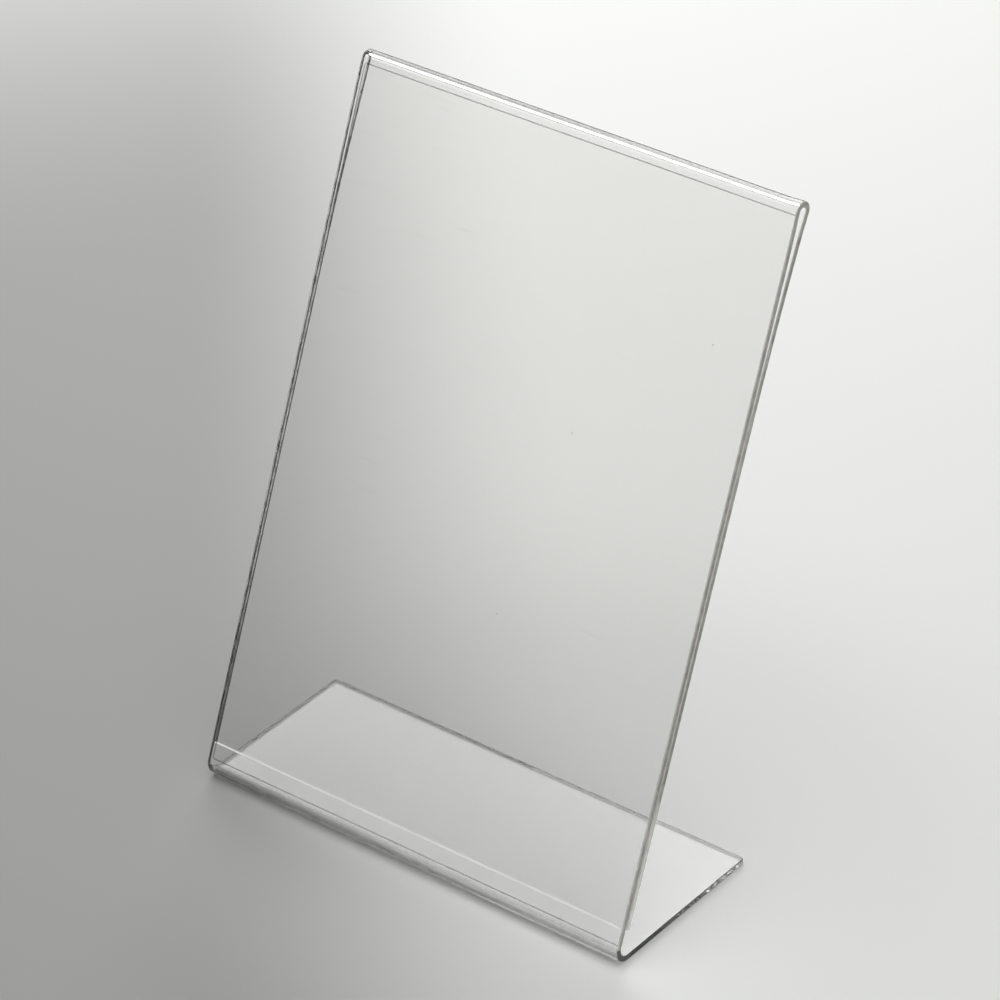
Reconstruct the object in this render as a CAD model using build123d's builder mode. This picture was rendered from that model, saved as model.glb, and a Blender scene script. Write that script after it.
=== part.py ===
from build123d import *
import os
from math import asin, cos, degrees, radians, sin, tan

os.makedirs("parts", exist_ok=True)

# A tabletop stand for one standing page, bent from a single blank of clear sheet: a base, a tight
# bend at the front, a display panel that leans back, a hairpin fold at the top, and a back flap that
# closes the pocket behind the panel.
# +Z is up and the display faces -Y. The origin is the middle of the base's underside.
# "Up the slope" is measured along the panel's front face, from the sharp corner that this face
# would make with the underside if the front bend had no radius.

# The page that the pocket is made for, in millimetres
insert_width = 210.0
insert_length = 297.0
insert_thickness = 0.2

# The room that the page has in its pocket
slide_clearance = 0.1   # to the panel in front of it, and to the flap behind it
side_margin = 1.0       # how far the stand is wider than the page, on each side
foot_room = 0.3         # from the start of the front bend up to the page's lower edge
head_room = 2.9         # from the page's upper edge to the inside of the top fold

# The sheet and its bends
thickness = 2.5
lean = 23.0             # degrees from upright
base_depth = 87.3
bend_radius = 4.0       # inside the front bend
fold_radius = 1.6       # inside the top fold
closing_length = 95.0   # from the fold's centre down to where the flap runs parallel to the panel
flap_edge_height = 16.7  # up the slope to the flap's free edge
corner_radius = 1.5     # the two corners at the back of the base, seen from above

# What follows from them
sheet_width = insert_width + 2 * side_margin
pocket_gap = insert_thickness + 2 * slide_clearance
base_angle = 90 - lean
bend_setback = (bend_radius + thickness) / tan(radians(base_angle / 2))
insert_foot = bend_setback + foot_room
fold_centre = insert_foot + insert_length + head_room - fold_radius
flap_length = fold_centre - closing_length - flap_edge_height

# The flap leaves the fold at the full gap and curves in to the pocket's gap on one long arc, which
# touches both the fold's inner circle and the straight part of the flap.
fold_gap = 2 * fold_radius
closing_radius = (closing_length**2 - pocket_gap * (fold_gap - pocket_gap)) / (
    2 * (fold_gap - pocket_gap)
)
closing_angle = degrees(asin(closing_length / (fold_radius + closing_radius)))

front_face = Plane(
    origin=(0, -base_depth / 2, 0),
    x_dir=(1, 0, 0),
    z_dir=(0, -cos(radians(lean)), sin(radians(lean))),
)


def sheet_face(outward):
    """One face of the bent sheet, as a tangent line that lies outward of its inner face."""
    with BuildLine() as face:
        base = Line(
            (base_depth / 2, thickness - outward),
            (bend_setback - base_depth / 2, thickness - outward),
        )
        bend = JernArc(base @ 1, base % 1, bend_radius + outward, -(180 - base_angle))
        panel = Line(bend @ 1, bend @ 1 + (bend % 1) * (fold_centre - bend_setback))
        fold = JernArc(panel @ 1, panel % 1, fold_radius + outward, -(180 + closing_angle))
        closing = JernArc(fold @ 1, fold % 1, closing_radius - outward, closing_angle)
        Line(closing @ 1, closing @ 1 + (closing % 1) * flap_length)
    return face.wire()


# The whole bent sheet, from its two faces and the cut edges that join them
inner_face = sheet_face(0)
outer_face = sheet_face(thickness)

with BuildPart() as folded_sheet:
    with BuildSketch(Plane.YZ) as side_profile:
        with BuildLine():
            add(inner_face)
            add(outer_face)
            Line(inner_face @ 0, outer_face @ 0)
            Line(inner_face @ 1, outer_face @ 1)
        make_face()
    extrude(amount=sheet_width / 2, both=True)

    # Only the base's rear corners are rounded; the flap's corners are square
    base_corners = folded_sheet.edges().filter_by(Axis.Z)
    fillet(base_corners, corner_radius)

folded_sheet.part.label = "folded_sheet"
export_step(folded_sheet.part, "parts/folded_sheet.step")

# The clear blank page, lying between the panel and the flap, with its foot above the front bend
with BuildPart() as sign_insert:
    with BuildSketch(front_face.offset(-(thickness + slide_clearance))):
        with Locations((0, insert_foot)):
            Rectangle(insert_width, insert_length, align=(Align.CENTER, Align.MIN))
    extrude(amount=-insert_thickness)

sign_insert.part.label = "sign_insert"
export_step(sign_insert.part, "parts/sign_insert.step")
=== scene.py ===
from math import asin, cos, pi, radians, sin, tan

import bmesh
import bpy
from mathutils import Matrix, Vector


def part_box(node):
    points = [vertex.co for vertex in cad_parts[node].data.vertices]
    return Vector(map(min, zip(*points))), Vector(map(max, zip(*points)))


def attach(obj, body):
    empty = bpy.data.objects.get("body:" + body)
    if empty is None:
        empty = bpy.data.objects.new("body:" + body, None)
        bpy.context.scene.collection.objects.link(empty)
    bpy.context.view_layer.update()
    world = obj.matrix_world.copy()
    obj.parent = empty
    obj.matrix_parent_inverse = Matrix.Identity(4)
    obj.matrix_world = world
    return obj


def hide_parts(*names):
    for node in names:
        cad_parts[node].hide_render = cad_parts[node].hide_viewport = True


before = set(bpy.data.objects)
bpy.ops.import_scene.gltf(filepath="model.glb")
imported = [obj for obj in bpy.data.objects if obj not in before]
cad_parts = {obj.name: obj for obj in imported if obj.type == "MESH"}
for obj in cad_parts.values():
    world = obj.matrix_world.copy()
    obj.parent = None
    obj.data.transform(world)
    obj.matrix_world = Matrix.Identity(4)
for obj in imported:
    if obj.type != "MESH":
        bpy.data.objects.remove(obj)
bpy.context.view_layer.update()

# ---------------------------------------------------------------------------------------------------
# Sizes, in metres. "Up the slope" runs along the panel's front face from the sharp corner that it
# would make with the underside of the base if the front bend had no radius.
# ---------------------------------------------------------------------------------------------------
MM = 0.001

sheet_low, sheet_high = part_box("folded_sheet")
page_low, page_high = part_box("sign_insert")
sheet_width = sheet_high.x - sheet_low.x
page_width = page_high.x - page_low.x

thickness = 2.5 * MM
lean = radians(23)
base_depth = 87.3 * MM
bend_radius = 4.0 * MM
fold_radius = 1.6 * MM
closing_length = 95 * MM
flap_edge_height = 16.7 * MM
base_corner_radius = 1.5 * MM
page_length = 297 * MM
page_thickness = 0.2 * MM
page_corner_radius = 1.0 * MM
slide_clearance = 0.1 * MM
foot_room = 0.3 * MM
head_room = 2.9 * MM
arris_width = 0.38 * MM
pick_room = 0.1 * MM  # how far inside a border a point may lie and still be picked as on it

pocket_gap = page_thickness + 2 * slide_clearance
base_angle = pi / 2 - lean
bend_setback = (bend_radius + thickness) / tan(base_angle / 2)
page_foot = bend_setback + foot_room
fold_centre = page_foot + page_length + head_room - fold_radius
flap_length = fold_centre - closing_length - flap_edge_height
fold_gap = 2 * fold_radius
closing_radius = (closing_length**2 - pocket_gap * (fold_gap - pocket_gap)) / (
    2 * (fold_gap - pocket_gap)
)
closing_angle = asin(closing_length / (fold_radius + closing_radius))

up_slope = Vector((0, sin(lean), cos(lean)))
rearward = Vector((0, cos(lean), -sin(lean)))
sharp_corner = Vector((0, -base_depth / 2, 0))


def on_panel(up, behind, across=0.0):
    """A point by its distance up the slope, behind the panel's front face, and to the right."""
    return sharp_corner + up_slope * up + rearward * behind + Vector((across, 0, 0))


bend_middle = on_panel(bend_setback, thickness + bend_radius)
fold_middle = on_panel(fold_centre, thickness + fold_radius)


# ---------------------------------------------------------------------------------------------------
# Shader arithmetic
# ---------------------------------------------------------------------------------------------------
class Signal:
    """A shader output that takes part in Python arithmetic: each operator adds its Math node."""

    def __init__(self, shader, socket):
        self.shader = shader
        self.socket = socket

    def maths(self, operation, *operands):
        settings = {"operation": operation}
        return self.shader.node("ShaderNodeMath", settings, dict(enumerate(operands)))

    def __add__(self, other):
        return self.maths("ADD", self, other)

    def __radd__(self, other):
        return self.maths("ADD", other, self)

    def __sub__(self, other):
        return self.maths("SUBTRACT", self, other)

    def __rsub__(self, other):
        return self.maths("SUBTRACT", other, self)

    def __mul__(self, other):
        return self.maths("MULTIPLY", self, other)

    def __rmul__(self, other):
        return self.maths("MULTIPLY", other, self)

    def __abs__(self):
        return self.maths("ABSOLUTE", self)

    def __lt__(self, other):
        return self.maths("LESS_THAN", self, other)


class Shader:
    """The node tree of one material or world."""

    def __init__(self, owner):
        owner.use_nodes = True
        self.tree = owner.node_tree
        self.tree.nodes.clear()

    def node(self, kind, settings=None, inputs=None, output=0):
        """Adds a node, sets its settings and then its sockets, and gives one of its outputs."""
        made = self.tree.nodes.new(kind)
        for name, value in (settings or {}).items():
            setattr(made, name, value)
        for name, value in (inputs or {}).items():
            if isinstance(value, Signal):
                self.tree.links.new(value.socket, made.inputs[name])
            else:
                made.inputs[name].default_value = value
        return Signal(self, made.outputs[output]) if made.outputs else None

    def place(self):
        """Object coordinates, in metres."""
        return self.node("ShaderNodeTexCoord", output="Object")

    def mix(self, share, first, second):
        """One colour fading into another."""
        settings = {"data_type": "RGBA"}
        return self.node("ShaderNodeMix", settings, {0: share, 6: first, 7: second}, 2)

    def between(self, value, low, high):
        """0 below low, 1 above high, with a soft rise between them."""
        settings = {"interpolation_type": "SMOOTHSTEP"}
        return self.node("ShaderNodeMapRange", settings, {0: value, 1: low, 2: high})

    def mask(self, name):
        """A mask that is stored on the faces."""
        return self.node("ShaderNodeAttribute", {"attribute_name": name}, output="Fac")

    def along(self, place, direction):
        """How far a place lies along a direction."""
        settings = {"operation": "DOT_PRODUCT"}
        return self.node("ShaderNodeVectorMath", settings, {0: place, 1: direction}, 1)

    def reach(self, place, point):
        """How far a place is from a point."""
        settings = {"operation": "DISTANCE"}
        return self.node("ShaderNodeVectorMath", settings, {0: place, 1: point}, 1)

    def noise(self, place, scale, detail=0):
        inputs = {"Vector": place, "Scale": scale, "Detail": detail}
        return self.node("ShaderNodeTexNoise", {}, inputs)


def grey(level):
    return (level, level, level, 1)


# ---------------------------------------------------------------------------------------------------
# Materials
# ---------------------------------------------------------------------------------------------------
def clear_acrylic():
    """Cast acrylic: water-clear through its faces and grey along its length, with three specks of
    dust, the faintest wipe marks, and cut edges with saw-mark relief and painted shade that is
    strongest at the left, painted light on the right edges above the front bend, and a painted glow
    along the flap's lower edge."""
    material = bpy.data.materials.new("clear_acrylic")
    shader = Shader(material)
    place = shader.place()
    cut = shader.mask("cut_edge")
    arris = shader.mask("arris")
    # Painted light on the right cut edges above the front bend
    painted_light_right = shader.mask("painted_light_right")
    # Painted glow on the flap's lower edge
    painted_glow = shader.mask("painted_glow")

    # Each speck's place up the slope and across the panel
    speck_radius = 0.35 * MM
    speck_places = [(249.5 * MM, 83.7 * MM), (196.8 * MM, 31.0 * MM), (116.8 * MM, 16.1 * MM)]
    specks = 0
    for up, across in speck_places:
        specks = specks + (shader.reach(place, on_panel(up, 0, across)) < speck_radius)
    wiped = shader.between(shader.noise(place, 22), 0.62, 0.8)

    along_edge = shader.node("ShaderNodeMapping", {}, {0: place, 3: (0, 230, 230)})
    saw_marks = shader.noise(along_edge, 1, 1)
    # Streaks of painted shade along the cut edges, drawn from the saw marks' noise
    painted_streaks = shader.between(saw_marks, 0.40, 0.62)
    relief = {"Strength": 0.3, "Distance": 0.2 * MM, "Height": saw_marks * cut}

    clear = shader.node(
        "ShaderNodeBsdfPrincipled",
        {},
        {
            "Base Color": shader.mix(specks, (1, 1, 0.996, 1), grey(0.4)),
            "Roughness": wiped * 0.012 + cut * 0.08,
            "Transmission Weight": 1.0,
            "IOR": 1.47,
            "Normal": shader.node("ShaderNodeBump", {}, relief),
        },
    )

    # Near black is painted shade on the arrises and cut faces; the pale colour is painted light on
    # the right edges above the front bend
    painted_shade_or_light = shader.mix(painted_light_right, (0.025, 0.023, 0.02, 1), (0.80, 0.77, 0.71, 1))
    edge_paint = shader.node(
        "ShaderNodeBsdfPrincipled",
        {},
        {
            # The flap's lower edge is near white and glows: a painted highlight
            "Base Color": shader.mix(painted_glow, painted_shade_or_light, grey(0.95)),
            "Roughness": 0.5,
            "Emission Color": shader.mix(painted_glow, grey(0), grey(1)),
            "Emission Strength": 0.5,
        },
    )

    # How much of the painted shade or light covers the arrises and cut faces, strongest at the left
    painted_edge_cover = arris * (0.74 + painted_streaks * 0.16) + cut * (0.05 + painted_streaks * 0.42)
    edge_paint_share = painted_edge_cover + painted_glow * 0.75 + painted_light_right * 0.4
    finish = shader.node("ShaderNodeMixShader", {}, {0: edge_paint_share, 1: clear, 2: edge_paint})
    absorption = {"Color": (0.41, 0.44, 0.36, 1), "Density": 3.4}
    tint = shader.node("ShaderNodeVolumeAbsorption", {}, absorption)
    shader.node("ShaderNodeOutputMaterial", {}, {"Surface": finish, "Volume": tint})
    return material


def clear_film():
    """The blank page: a thin polyester film with hair scratches and slightly darker cut edges."""
    material = bpy.data.materials.new("clear_film")
    shader = Shader(material)
    place = shader.place()
    stretched = shader.node("ShaderNodeMapping", {}, {0: place, 3: (60, 900, 900)})
    scratched = shader.between(shader.noise(stretched, 1), 0.72, 0.82)

    edge_band = 0.5 * MM
    middle = on_panel(page_foot + page_length / 2, 0).dot(up_slope)
    to_side = page_width / 2 - abs(shader.along(place, (1, 0, 0)))
    to_end = page_length / 2 - abs(shader.along(place, up_slope) - middle)
    at_edge = to_side.maths("MINIMUM", to_side, to_end) < edge_band

    film = shader.node(
        "ShaderNodeBsdfPrincipled",
        {},
        {
            "Base Color": shader.mix(scratched, grey(1.0), grey(0.97)),
            "Roughness": scratched * 0.012,
            "Transmission Weight": 1.0,
            "IOR": 1.12,
        },
    )
    edge_finish = {"Base Color": (0.10, 0.10, 0.095, 1), "Roughness": 0.4}
    edge = shader.node("ShaderNodeBsdfPrincipled", {}, edge_finish)
    finish = shader.node("ShaderNodeMixShader", {}, {0: at_edge * 0.3, 1: film, 2: edge})
    shader.node("ShaderNodeOutputMaterial", {}, {"Surface": finish})
    return material


def card_with_painted_shade():
    """The table top: a smooth matt card whose colour carries painted shade, grey at the front left
    and white at the back right, a painted pool of light under the stand, and plain pale grey far
    away."""
    material = bpy.data.materials.new("card_with_painted_shade")
    shader = Shader(material)
    place = shader.place()
    # Painted shade: darker towards the front left and lighter towards the back right, like a soft
    # shadow across the table
    rise = shader.between(shader.along(place, (0.757, 0.674, 0)), -0.12, 0.07)
    from_stand = shader.reach(place, (0.025, 0.0, 0))
    # A painted pool of light around the stand, lifting the floor where the stand's own shadow falls
    lit_patch = 1 - shader.between(from_stand, 0.03, 0.17)
    near_shade = rise * 0.78 + lit_patch * 0.24
    far_away = shader.between(from_stand, 0.5, 1.2)
    shade = near_shade + far_away * (0.75 - near_shade)

    # The two ends of the painted shade: the card in shade and the card in light
    card_in_painted_shade = (0.315, 0.319, 0.306, 1)
    card_in_painted_light = (0.84, 0.848, 0.822, 1)
    surface = shader.node(
        "ShaderNodeBsdfPrincipled",
        {},
        {
            "Base Color": shader.mix(shade, card_in_painted_shade, card_in_painted_light),
            "Roughness": 0.55,
            "Specular IOR Level": 0.3,
        },
    )
    shader.node("ShaderNodeOutputMaterial", {}, {"Surface": surface})
    return material


# ---------------------------------------------------------------------------------------------------
# Modelling helpers
# ---------------------------------------------------------------------------------------------------
def deselect_all():
    for thing in bpy.context.selected_objects:
        thing.select_set(False)


def select_points(piece, wanted):
    """In edit mode, selects the vertices whose place passes a test, and what they bound."""
    bpy.ops.mesh.select_all(action="DESELECT")
    shape = bmesh.from_edit_mesh(piece.data)
    for vertex in shape.verts:
        vertex.select = wanted(vertex.co)
    shape.select_flush(True)
    bmesh.update_edit_mesh(piece.data)


def extrude(step):
    bpy.ops.mesh.extrude_region_move(TRANSFORM_OT_translate={"value": step})


def extrude_run(direction, length, leads):
    """A straight run whose rows are close together near the bends at its two ends."""
    for lead in leads:
        extrude(direction * lead)
    extrude(direction * (length - 2 * sum(leads)))
    for lead in reversed(leads):
        extrude(direction * lead)


def apply_modifier(piece, kind, **settings):
    modifier = piece.modifiers.new(kind.lower(), kind)
    for name, value in settings.items():
        setattr(modifier, name, value)
    bpy.context.view_layer.objects.active = piece
    bpy.ops.object.modifier_apply(modifier=modifier.name)


# ---------------------------------------------------------------------------------------------------
# The bent sheet
# ---------------------------------------------------------------------------------------------------
def draw_inner_face():
    """The blank's inner face: the base's top, the inside of the front bend, the panel's back, the
    inside of the top fold and the flap's front, as one strip of quads."""
    deselect_all()
    columns = 32
    bend_steps, fold_steps, closing_steps = 28, 44, 24
    row_leads = [1 * MM, 2 * MM, 4 * MM, 8 * MM]

    far_run = base_depth - bend_setback - sum(row_leads)
    bpy.ops.mesh.primitive_grid_add(x_subdivisions=columns, y_subdivisions=1, size=1)
    piece = bpy.context.object
    piece.name = "bent_sheet"
    piece.scale = (sheet_width, far_run, 1)
    piece.location = (0, (base_depth - far_run) / 2, thickness)
    bpy.ops.object.transform_apply(location=True, rotation=True, scale=True)

    bpy.ops.object.mode_set(mode="EDIT")
    leading_edge = base_depth / 2 - far_run + pick_room
    select_points(piece, lambda co: co.y < leading_edge)
    for lead in reversed(row_leads):
        extrude(Vector((0, -lead, 0)))
    bpy.ops.mesh.spin(
        steps=bend_steps, angle=pi - base_angle, center=bend_middle, axis=(1, 0, 0)
    )
    extrude_run(up_slope, fold_centre - bend_setback, row_leads)
    bpy.ops.mesh.spin(
        steps=fold_steps, angle=pi + closing_angle, center=fold_middle, axis=(1, 0, 0)
    )
    bpy.ops.mesh.spin(
        steps=closing_steps,
        angle=-closing_angle,
        center=on_panel(fold_centre - closing_length, thickness + pocket_gap + closing_radius),
        axis=(1, 0, 0),
    )
    extrude_run(-up_slope, flap_length, row_leads)
    return piece


def round_rear_corners(piece):
    """Rounds the two corners at the back of the base."""

    def is_rear_corner(co):
        at_side = abs(co.x) > sheet_width / 2 - pick_room
        return at_side and co.y > base_depth / 2 - pick_room and co.z < 2 * thickness

    select_points(piece, is_rear_corner)
    bpy.ops.mesh.bevel(affect="VERTICES", offset=base_corner_radius, segments=8)


def add_rows_near_sides():
    """Cuts rows close to both side edges, which let the ends of the fold flare smoothly."""
    for inset in (1 * MM, 2.5 * MM, 4.5 * MM):
        for side in (-1, 1):
            row = (side * (sheet_width / 2 - inset), 0, 0)
            bpy.ops.mesh.select_all(action="SELECT")
            bpy.ops.mesh.bisect(plane_co=row, plane_no=(1, 0, 0))


def flare_fold_ends(piece):
    """Closes the fold's left end a little and opens its right end, as heating leaves them."""
    for side, flare in ((-1, 0.94), (1, 1.22)):

        def is_fold_end(co):
            near = (co.yz - fold_middle.yz).length < 1.5 * fold_radius
            return near and side * co.x > sheet_width / 2 - pick_room

        select_points(piece, is_fold_end)
        bpy.ops.transform.resize(
            value=(1, flare, flare),
            center_override=(side * sheet_width / 2, fold_middle.y, fold_middle.z),
            use_proportional_edit=True,
            proportional_edit_falloff="SMOOTH",
            proportional_size=9 * MM,
        )


def orient_inner_face(piece):
    """Merges the spins' doubled rows and turns all normals towards the inside of the bends, so that
    the wall grows outwards."""
    bpy.ops.mesh.select_all(action="SELECT")
    bpy.ops.mesh.remove_doubles(threshold=0.001 * MM)
    bpy.ops.mesh.normals_make_consistent(inside=False)
    faces = bmesh.from_edit_mesh(piece.data).faces
    on_base = [face for face in faces if face.calc_center_median().z < 1.01 * thickness]
    if on_base[0].normal.z < 0:
        bpy.ops.mesh.flip_normals()


def ripple_bends(piece):
    """Leaves a faint ripple in what was heated: the front bend, the top fold and beside them."""
    heated_reach = 14 * MM
    warmed = piece.vertex_groups.new(name="warmed")
    for vertex in piece.data.vertices:
        to_bend = (vertex.co.yz - bend_middle.yz).length - bend_radius
        to_fold = (vertex.co.yz - fold_middle.yz).length - fold_radius
        warmth = max(1 - to_bend / heated_reach, 1 - to_fold / heated_reach, 0)
        warmed.add([vertex.index], min(warmth, 1), "REPLACE")
    ripple = bpy.data.textures.new("heat_ripple", "CLOUDS")
    ripple.noise_scale = 0.016
    ripple.noise_depth = 1
    apply_modifier(
        piece,
        "DISPLACE",
        texture=ripple,
        vertex_group="warmed",
        strength=0.02 * MM,
        mid_level=0.5,
        texture_coords="LOCAL",
    )


def mask_cut_edges(piece):
    """Turns the face marks of the walls (1) and the arrises (2) into the masks that the finish
    reads. The saw's marks and the painted shade are weaker at the right, the right edges above the
    front bend carry painted light, and the flap's lower edge has no saw marks and carries a painted
    glow."""
    above_bend = 8 * MM
    # Strength of the saw marks and of the painted shade on the cut edges, at the left and at the
    # right
    saw_and_shade_left, saw_and_shade_right = 1.0, 0.36

    def is_flap_end(face):
        offset = face.center - sharp_corner
        in_flap = offset.dot(rearward) > thickness + pocket_gap - pick_room
        at_end = offset.dot(up_slope) < flap_edge_height + 0.5 * MM
        return in_flap and at_end and face.center.z > above_bend

    masks = {"cut_edge": [], "arris": [], "painted_light_right": [], "painted_glow": []}
    for face in piece.data.polygons:
        on_edge = face.material_index > 0
        on_right = face.center.x > 0
        flap_end = on_edge and is_flap_end(face)
        # Strength of this face's saw marks and painted shade; none on the flap's lower edge
        edge_paint = 0.0 if flap_end else saw_and_shade_right if on_right else saw_and_shade_left
        # Painted light on the right cut edges above the front bend
        painted_light_right = on_edge and on_right and face.center.z > above_bend and not flap_end
        masks["cut_edge"].append(edge_paint * (face.material_index == 1))
        masks["arris"].append(edge_paint * (face.material_index == 2))
        masks["painted_light_right"].append(float(painted_light_right))
        # Painted glow along the flap's lower edge
        masks["painted_glow"].append(float(flap_end))
        face.material_index = 0
    for name, values in masks.items():
        mask = piece.data.attributes.new(name, "FLOAT", "FACE")
        mask.data.foreach_set("value", values)
    piece.data.materials.pop(index=2)
    piece.data.materials.pop(index=1)


def make_bent_sheet():
    """The folded sheet: its inner face first, then the thickness outwards, then the arrises."""
    piece = draw_inner_face()
    round_rear_corners(piece)
    add_rows_near_sides()
    flare_fold_ends(piece)
    orient_inner_face(piece)
    bpy.ops.object.mode_set(mode="OBJECT")
    ripple_bends(piece)

    piece.data.materials.append(clear_acrylic())
    piece.data.materials.append(None)
    piece.data.materials.append(None)
    apply_modifier(
        piece,
        "SOLIDIFY",
        thickness=thickness,
        offset=-1,
        use_even_offset=True,
        material_offset_rim=1,
    )
    deselect_all()
    piece.select_set(True)
    bpy.context.view_layer.objects.active = piece
    bpy.ops.object.shade_smooth_by_angle(angle=radians(30))
    apply_modifier(
        piece,
        "BEVEL",
        width=arris_width,
        segments=2,
        limit_method="ANGLE",
        angle_limit=radians(50),
        harden_normals=True,
        material=2,
    )
    mask_cut_edges(piece)

    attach(piece, "stand")
    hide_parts("folded_sheet")


# ---------------------------------------------------------------------------------------------------
# The page
# ---------------------------------------------------------------------------------------------------
def make_insert_film():
    """A blank page of film with rounded corners, very slightly wavy, lying behind the panel."""
    deselect_all()
    bpy.ops.mesh.primitive_grid_add(x_subdivisions=42, y_subdivisions=60, size=1)
    piece = bpy.context.object
    piece.name = "insert_film"
    piece.scale = (page_width, page_length, 1)
    bpy.ops.object.transform_apply(location=True, rotation=True, scale=True)

    bpy.ops.object.mode_set(mode="EDIT")

    def is_corner(co):
        return abs(co.x) > page_width / 2 - pick_room and abs(co.y) > page_length / 2 - pick_room

    select_points(piece, is_corner)
    bpy.ops.mesh.bevel(affect="VERTICES", offset=page_corner_radius, segments=5)
    bpy.ops.object.mode_set(mode="OBJECT")

    waviness = bpy.data.textures.new("film_wave", "CLOUDS")
    waviness.noise_scale = 0.09
    apply_modifier(
        piece, "DISPLACE", texture=waviness, strength=0.08 * MM, texture_coords="LOCAL"
    )
    apply_modifier(piece, "SOLIDIFY", thickness=page_thickness, offset=-1)
    bpy.ops.object.shade_smooth_by_angle(angle=radians(30))

    middle = on_panel(page_foot + page_length / 2, thickness + slide_clearance)
    turn = Matrix((Vector((1, 0, 0)), up_slope, -rearward)).transposed()
    piece.matrix_world = Matrix.Translation(middle) @ turn.to_4x4()
    bpy.ops.object.transform_apply(location=True, rotation=True, scale=True)
    piece.data.materials.append(clear_film())

    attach(piece, "sign")
    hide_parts("sign_insert")


# ---------------------------------------------------------------------------------------------------
# Table, light and camera
# ---------------------------------------------------------------------------------------------------
def lay_table():
    deselect_all()
    bpy.ops.mesh.primitive_plane_add(size=9, location=(0, 0, -0.1 * MM))
    table = bpy.context.object
    table.name = "table"
    table.data.materials.append(card_with_painted_shade())


def hang_light():
    """A dim room with a bright ceiling and a low pale wall behind the stand, and one large softbox
    behind the stand and to its left."""
    world = bpy.data.worlds.new("studio")
    bpy.context.scene.world = world
    shader = Shader(world)
    way = shader.node("ShaderNodeTexCoord", output="Generated")
    toward_viewer = shader.along(way, (0.62, -0.78, 0))
    height = shader.along(way, (0, 0, 1))
    dim = grey(0.08)
    walls = shader.mix(shader.between(toward_viewer, -0.6, 0.3), grey(0.75), dim)
    sides = shader.mix(shader.between(height, 0.22, 0.36), walls, dim)
    room = shader.mix(shader.between(height, 0.78, 0.93), sides, grey(2.6))
    background = shader.node("ShaderNodeBackground", {}, {"Color": room, "Strength": 1.0})
    shader.node("ShaderNodeOutputWorld", {}, {"Surface": background})

    softbox = bpy.data.lights.new("softbox", "AREA")
    softbox.shape = "RECTANGLE"
    softbox.size = 1.1
    softbox.size_y = 0.8
    softbox.energy = 10
    lamp = bpy.data.objects.new("softbox", softbox)
    bpy.context.collection.objects.link(lamp)
    lamp_distance = 1.6
    toward_lamp = Vector((-0.532, 0.648, 0.545)).normalized()
    lamp.location = toward_lamp * lamp_distance
    lamp.rotation_euler = toward_lamp.to_track_quat("Z", "Y").to_euler()


def set_camera():
    """A long lens from the front right and above, turned very slightly about its own axis."""
    azimuth = radians(39.358)
    elevation = radians(33.006)
    roll = radians(-1.8)
    distance = 1.8163
    aim = Vector((0.0569, -base_depth / 2, 0.2006))
    back = Vector((sin(azimuth) * cos(elevation), -cos(azimuth) * cos(elevation), sin(elevation)))
    right = Vector((cos(azimuth), sin(azimuth), 0))
    up = back.cross(right)
    turned_right = right * cos(roll) + up * sin(roll)
    turned_up = up * cos(roll) - right * sin(roll)
    camera = bpy.data.objects.new("camera", bpy.data.cameras.new("camera"))
    camera.data.lens = 175.7
    camera.data.sensor_width = 36
    camera.data.clip_start = 0.05
    bpy.context.collection.objects.link(camera)
    turn = Matrix((turned_right, turned_up, back)).transposed().to_4x4()
    camera.matrix_world = Matrix.Translation(aim + back * distance) @ turn
    bpy.context.scene.camera = camera


make_bent_sheet()
make_insert_film()
lay_table()
hang_light()
set_camera()

# Light is trapped along the length of the clear sheet, so it needs many bounces
scene = bpy.context.scene
scene.view_settings.view_transform = "Standard"
scene.cycles.max_bounces = 72
scene.cycles.transmission_bounces = 72
scene.cycles.glossy_bounces = 72
scene.cycles.transparent_max_bounces = 64
